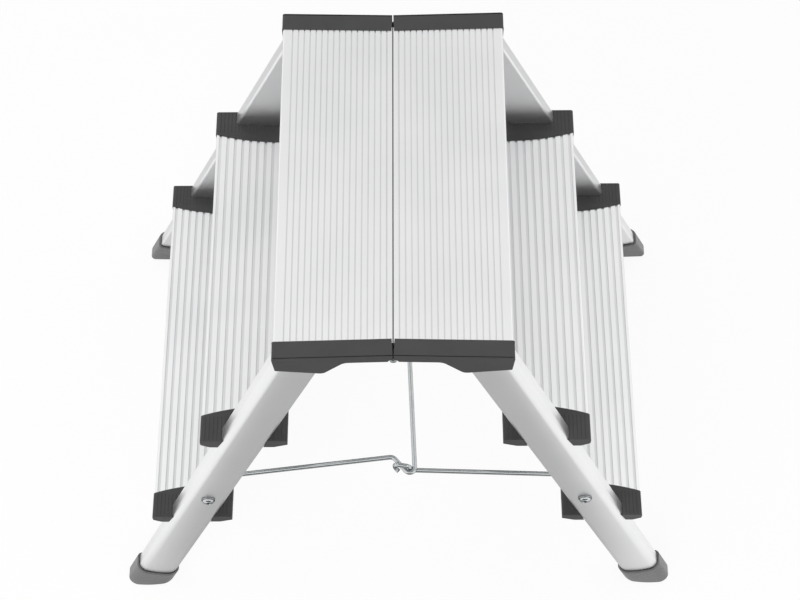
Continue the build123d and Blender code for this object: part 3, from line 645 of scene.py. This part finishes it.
washer_finish = zinc_plate("dark_washer", WASHER_DARK, WASHER_GREY, roughness=0.3)
washer_seat = LEG_OUTER_Y - RING_SINK
spacer_end = EYE_Y + WIRE_RADIUS + EYE_SIDE_PLAY
spacer_seat = leg_inner_y(STAY_Z) + RING_SINK
bolt_rings = {
    "head_washers": (washer_seat, HEAD_SEAT_Y, HEAD_WASHER_RADIUS, HEAD_WASHER_EASE, washer_finish,
                     "dark_washer"),
    "spacers": (spacer_end, spacer_seat, SPACER_RADIUS, SPACER_EASE, zinc_finish, "zinc_steel"),
    "washers": (NUT_Y, WASHER_Y, WASHER_RADIUS, WASHER_EASE, zinc_finish, "zinc_steel"),
}
for side_name, side in SIDES.items():
    bolt_places = [bolt_place(side, end) for end in ENDS.values()]
    frame_name = f"{side_name}_frame"
    bolt_piece = add_piece(f"button_bolts_{side_name}", copies_at(bolt_shape(), bolt_places), zinc_finish,
                           frame_name, f"{side_name}_stay_bolts")
    # The second material paints shade inside the bolt drives.
    bolt_piece.data.materials.append(painted_shade_finish)
    for kind, (low, high, radius, ease, finish, slot) in bolt_rings.items():
        ring = turned(ring_profile(BOLT_RADIUS + BOLT_HOLE_FIT, radius, low, high, ease))
        add_piece(f"bolt_{kind}_{side_name}", copies_at(ring, bolt_places), finish,
                  frame_name, f"{side_name}_stay_{kind}")
    nuts = softened_copy(f"{side_name}_stay_nuts", NUT_EDGE, NUT_SHARP_ANGLE)
    add_piece(f"locknuts_{side_name}", nuts, zinc_finish, frame_name, f"{side_name}_stay_nuts")

# Wire stay. Bright zinc-plated steel wire keeps the two frames from spreading: one wide bow with an eye
# on each left bolt, and two links with an eye on each right bolt. A link's other end passes under the
# bow's long strand, rises through the bend beside it and hooks over the bow's slanted seat.
WIRE_SIDES = 20
BEND_STEPS_PER_RADIAN = 12
EYE_PLAY = 0.00008
EYE_RADIUS = BOLT_RADIUS + EYE_PLAY + WIRE_RADIUS
EYE_WRAP = radians(250)
EYE_STEPS = 40
EYE_RUN = 0.016
EYE_BEND = 0.040
SEAT_BEND_X = -0.0045
SEAT_BEND_INSET = 0.0229
SEAT_BEND = Vector((SEAT_BEND_X, SEAT_BEND_INSET - EYE_Y, STAY_Z))
SEAT_BEND_RADIUS = 0.009
SEAT_SLANT = radians(49)
STRAND_END_X = 0.0244
STRAND_BEND = 0.0065
STRAND_MIDDLE_X = 0.0175
STRAND_MIDDLE_Y = 0.045
STRAND_BOW = 0.900
HOOK_HALF_HEIGHT = 0.0065
HOOK_BEND = 0.0055
HOOK_OVER = Vector((-0.0198, 0.0033, 0))
HOOK_TAIL = Vector((0.0045, -0.0045, 0))


def start_wire(place, heading):
    """A ring of points that a round wire is drawn from."""
    wire = bmesh.new()
    turn = Vector(heading).to_track_quat("Z", "X").to_matrix().to_4x4()
    bmesh.ops.create_circle(wire, segments=WIRE_SIDES, radius=WIRE_RADIUS,
                            matrix=Matrix.Translation(place) @ turn)
    return wire, wire.edges[:]


def run_wire(wire, rim, step):
    """Draws the wire straight on by a step."""
    made = bmesh.ops.extrude_edge_only(wire, edges=rim)["geom"]
    verts = [item for item in made if isinstance(item, bmesh.types.BMVert)]
    bmesh.ops.translate(wire, vec=step, verts=verts)
    return [item for item in made if isinstance(item, bmesh.types.BMEdge)]


def bend_wire(wire, rim, centre, axis, angle, steps):
    """Bends the wire on round an axis."""
    verts = list({vert for edge in rim for vert in edge.verts})
    made = bmesh.ops.spin(wire, geom=verts + rim, cent=centre, axis=axis, dvec=(0, 0, 0), angle=angle,
                          steps=steps, use_merge=False, use_duplicate=False)["geom_last"]
    return [item for item in made if isinstance(item, bmesh.types.BMEdge)]


def lead_wire(wire, rim, points, bends):
    """Leads the wire through points, straight between them and bent to a radius at each inner one."""
    place = points[0]
    heading = (points[1] - points[0]).normalized()
    for corner, after, radius in zip(points[1:-1], points[2:], bends):
        onward = (after - corner).normalized()
        angle = heading.angle(onward)
        reach = radius * tan(angle / 2)
        start = corner - heading * reach
        axis = heading.cross(onward).normalized()
        rim = run_wire(wire, rim, start - place)
        centre = start + axis.cross(heading) * radius
        steps = max(3, int(angle * BEND_STEPS_PER_RADIAN))
        rim = bend_wire(wire, rim, centre, axis, angle, steps)
        place = corner + onward * reach
        heading = onward
    return run_wire(wire, rim, points[-1] - place)


eye_bottom = STAY_Z - EYE_RADIUS
corner_y = SEAT_BEND.y - (STRAND_END_X - SEAT_BEND.x) * tan(SEAT_SLANT)
bow_points = [Vector((STRAND_MIDDLE_X, 0, STAY_Z)), Vector((STRAND_MIDDLE_X, -STRAND_MIDDLE_Y, STAY_Z))]
bow_points += [Vector((STRAND_END_X, corner_y, STAY_Z)), SEAT_BEND]
bow_points += [Vector((-STAY_X + EYE_RUN, -EYE_Y, eye_bottom)), Vector((-STAY_X, -EYE_Y, eye_bottom))]
bow, bow_rim = start_wire(bow_points[0], (0, -1, 0))
bow_rim = lead_wire(bow, bow_rim, bow_points, (STRAND_BOW, STRAND_BEND, SEAT_BEND_RADIUS, EYE_BEND))
bow_rim = bend_wire(bow, bow_rim, (-STAY_X, -EYE_Y, STAY_Z), (0, 1, 0), EYE_WRAP, EYE_STEPS)
bmesh.ops.edgeloop_fill(bow, edges=bow_rim)
bmesh.ops.mirror(bow, geom=bow.verts[:] + bow.edges[:] + bow.faces[:], axis="Y", merge_dist=0.00001)
bmesh.ops.recalc_face_normals(bow, faces=bow.faces)
add_piece("wire_bow", bow, zinc_finish, "stay_bow", "stay_bow")

half_corner = (pi / 2 - SEAT_SLANT) / 2
rise = Vector((STRAND_END_X - STRAND_BEND, corner_y + STRAND_BEND / tan(half_corner), STAY_Z))
half_rise = Vector((0, 0, HOOK_HALF_HEIGHT))
fall = rise + HOOK_OVER
link_bends = (EYE_BEND, HOOK_BEND, HOOK_BEND, HOOK_BEND, HOOK_BEND)
for end_name, end in ENDS.items():
    link_points = [Vector((STAY_X, -EYE_Y, eye_bottom)), Vector((STAY_X - EYE_RUN, -EYE_Y, eye_bottom))]
    link_points += [rise - half_rise, rise + half_rise, fall + half_rise, fall - half_rise]
    link_points += [fall - half_rise + HOOK_TAIL]
    link, eye_rim = start_wire(link_points[0], (-1, 0, 0))
    hook_rim = lead_wire(link, eye_rim, link_points, link_bends)
    eye_rim = bend_wire(link, eye_rim, (STAY_X, -EYE_Y, STAY_Z), (0, -1, 0), EYE_WRAP, EYE_STEPS)
    bmesh.ops.edgeloop_fill(link, edges=hook_rim)
    bmesh.ops.edgeloop_fill(link, edges=eye_rim)
    bmesh.ops.transform(link, matrix=Matrix.Diagonal((1, -end, 1, 1)), verts=link.verts)
    bmesh.ops.recalc_face_normals(link, faces=link.faces)
    add_piece(f"wire_link_{end_name}", link, zinc_finish, f"stay_link_{end_name}",
              f"stay_link_{end_name}")

# Studio. The stool stands on a white floor, which keeps a faint shadow of it, in an even white room under a
# large pale panel. So that bright metal shows its shape, the floor is dimmer in reflections along the middle
# and behind, the panel is dimmer round the camera, and two dark cards stand out of sight.
FLOOR_WHITE = (0.92, 0.92, 0.92, 1)
ROOM_WHITE = (1, 1, 1, 1)
ROOM_FILL = 0.78
FLOOR_GLOW = 0.90
FLOOR_MIDDLE_X = -0.02
FLOOR_SIDE_FADE = (0.23, 0.49, 0.44, 1)
FLOOR_BACK_FADE = (0.2, 0.5, 1, 0.7)
PANEL_SIDE_FADE = (0.55, 0.95, 1, 1.30)
PANEL_BACK_FADE = (0.2, 2.2, 0.94, 0.76)
PANEL_DIM_Y = -1.1
PANEL_DIM_FADE = (0.15, 0.5, 0.25, 1)
FLOOR_HALF = 8
PANEL_HALF = 2.9
PANEL_PLACE = (0, 0, 3.2)
CARD_HALF = (1.3, 0.6)
CARD_PLACES = {"front_card": (0, -2.0, 0.61), "back_card": (0, 2.4, 0.61)}
CARD_BLACK = (0.03, 0.03, 0.03, 1)
SOFTBOX_SIZE = 1.6
SOFTBOX_POWER = 28
SOFTBOX_PLACE = Vector((-0.8, -1.9, 1.9))
SOFTBOX_AIM = Vector((0.0, 0.0, 0.35))
CAMERA_PLACE = (0.017681, -0.938881, 2.327758)
CAMERA_TURN = (25.5904, 0.4254, -0.1534)
CAMERA_LENS = 74.399
CAMERA_SENSOR = 36


def fade(tree, source, limits):
    """Runs smoothly between two levels while a value runs between two limits."""
    keys = ("From Min", "From Max", "To Min", "To Max")
    node = add_node(tree, "ShaderNodeMapRange", dict(zip(keys, limits)), interpolation_type="SMOOTHSTEP")
    tree.links.new(source, node.inputs["Value"])
    return node.outputs["Result"]


def combined(tree, operation, *sources):
    """Several values brought together by one operation, such as their product or the largest of them."""
    result = sources[0]
    for source in sources[1:]:
        node = add_node(tree, "ShaderNodeMath", operation=operation)
        tree.links.new(result, node.inputs[0])
        tree.links.new(source, node.inputs[1])
        result = node.outputs["Value"]
    return result


def seen_white(tree):
    """One where a ray comes from the camera, a reflection or a clear surface, and zero elsewhere."""
    path = add_node(tree, "ShaderNodeLightPath")
    kinds = ("Is Camera Ray", "Is Glossy Ray", "Is Transmission Ray")
    return combined(tree, "MAXIMUM", *(path.outputs[kind] for kind in kinds))


def sheet_axes(tree):
    """Distances across and back along a sheet."""
    spot = add_node(tree, "ShaderNodeTexCoord")
    axes = add_node(tree, "ShaderNodeSeparateXYZ")
    tree.links.new(spot.outputs["Object"], axes.inputs["Vector"])
    return axes.outputs["X"], axes.outputs["Y"]


def distance(tree, source, line):
    """How far a value is from a line, to either side."""
    offset = add_node(tree, "ShaderNodeMath", {1: line}, operation="SUBTRACT")
    either = add_node(tree, "ShaderNodeMath", operation="ABSOLUTE")
    tree.links.new(source, offset.inputs[0])
    tree.links.new(offset.outputs["Value"], either.inputs[0])
    return either.outputs["Value"]


def bare_material(name):
    """A new material with an empty node tree but for its output."""
    material = bpy.data.materials.new(name)
    material.use_nodes = True
    tree = material.node_tree
    tree.nodes.remove(tree.nodes["Principled BSDF"])
    return material, tree, tree.nodes["Material Output"].inputs["Surface"]


def stage_sheet(name, half_width, half_depth, place, material):
    """A flat sheet of the studio, lying level."""
    sheet = bmesh.new()
    bmesh.ops.create_grid(sheet, x_segments=1, y_segments=1, size=1)
    bmesh.ops.scale(sheet, vec=(half_width, half_depth, 1), verts=sheet.verts)
    mesh = bpy.data.meshes.new(name)
    sheet.to_mesh(mesh)
    sheet.free()
    mesh.materials.append(material)
    staged = bpy.data.objects.new(name, mesh)
    staged.location = place
    scene.collection.objects.link(staged)
    return staged


floor_finish, tree, surface = bare_material("studio_floor")
across, back = sheet_axes(tree)
aside = fade(tree, distance(tree, across, FLOOR_MIDDLE_X), FLOOR_SIDE_FADE)
reflected = combined(tree, "MULTIPLY", aside, fade(tree, back, FLOOR_BACK_FADE))
seen_by = add_node(tree, "ShaderNodeLightPath")
glow = add_node(tree, "ShaderNodeEmission", {"Color": ROOM_WHITE})
glow_level = combined(tree, "MAXIMUM", reflected, seen_by.outputs["Is Camera Ray"])
tree.links.new(glow_level, glow.inputs["Strength"])
matt = add_node(tree, "ShaderNodeBsdfDiffuse", {"Color": FLOOR_WHITE})
part_glow = add_node(tree, "ShaderNodeMath", {1: FLOOR_GLOW}, operation="MULTIPLY")
floor_mix = add_node(tree, "ShaderNodeMixShader")
tree.links.new(seen_white(tree), part_glow.inputs[0])
tree.links.new(part_glow.outputs["Value"], floor_mix.inputs["Fac"])
tree.links.new(matt.outputs["BSDF"], floor_mix.inputs[1])
tree.links.new(glow.outputs["Emission"], floor_mix.inputs[2])
tree.links.new(floor_mix.outputs["Shader"], surface)
stage_sheet("studio_floor", FLOOR_HALF, FLOOR_HALF, (0, 0, 0), floor_finish)

panel_finish, tree, surface = bare_material("ceiling_panel")
across, back = sheet_axes(tree)
aside = fade(tree, distance(tree, across, 0), PANEL_SIDE_FADE)
dimmed = fade(tree, distance(tree, back, PANEL_DIM_Y), PANEL_DIM_FADE)
panel_level = combined(tree, "MULTIPLY", aside, dimmed, fade(tree, back, PANEL_BACK_FADE))
panel_glow = add_node(tree, "ShaderNodeEmission", {"Color": ROOM_WHITE})
tree.links.new(panel_level, panel_glow.inputs["Strength"])
tree.links.new(panel_glow.outputs["Emission"], surface)
panel = stage_sheet("ceiling_panel", PANEL_HALF, PANEL_HALF, PANEL_PLACE, panel_finish)
panel.visible_camera = False

card_finish, tree, surface = bare_material("dark_card")
card_matt = add_node(tree, "ShaderNodeBsdfDiffuse", {"Color": CARD_BLACK})
tree.links.new(card_matt.outputs["BSDF"], surface)
for card_name, card_place in CARD_PLACES.items():
    card = stage_sheet(card_name, *CARD_HALF, card_place, card_finish)
    card.rotation_euler.x = pi / 2
    card.visible_camera = False

room = bpy.data.worlds.new("white_room")
room.use_nodes = True
scene.world = room
room_tree = room.node_tree
fill = room_tree.nodes["Background"]
fill.inputs["Color"].default_value = ROOM_WHITE
fill.inputs["Strength"].default_value = ROOM_FILL
backdrop = add_node(room_tree, "ShaderNodeBackground", {"Color": ROOM_WHITE, "Strength": 1})
room_mix = add_node(room_tree, "ShaderNodeMixShader")
room_tree.links.new(seen_white(room_tree), room_mix.inputs["Fac"])
room_tree.links.new(fill.outputs["Background"], room_mix.inputs[1])
room_tree.links.new(backdrop.outputs["Background"], room_mix.inputs[2])
room_tree.links.new(room_mix.outputs["Shader"], room_tree.nodes["World Output"].inputs["Surface"])

softbox = bpy.data.lights.new("softbox", "AREA")
softbox.shape = "SQUARE"
softbox.size = SOFTBOX_SIZE
softbox.energy = SOFTBOX_POWER
softbox_object = bpy.data.objects.new("softbox", softbox)
softbox_object.location = SOFTBOX_PLACE
softbox_object.rotation_euler = (SOFTBOX_AIM - SOFTBOX_PLACE).to_track_quat("-Z", "Y").to_euler()
softbox_object.visible_camera = False
softbox_object.visible_glossy = False
scene.collection.objects.link(softbox_object)

camera_lens = bpy.data.cameras.new("camera")
camera_lens.sensor_width = CAMERA_SENSOR
camera_lens.lens = CAMERA_LENS
camera = bpy.data.objects.new("camera", camera_lens)
camera.location = CAMERA_PLACE
camera.rotation_euler = [radians(turn) for turn in CAMERA_TURN]
scene.collection.objects.link(camera)
scene.camera = camera
scene.view_settings.view_transform = "Standard"
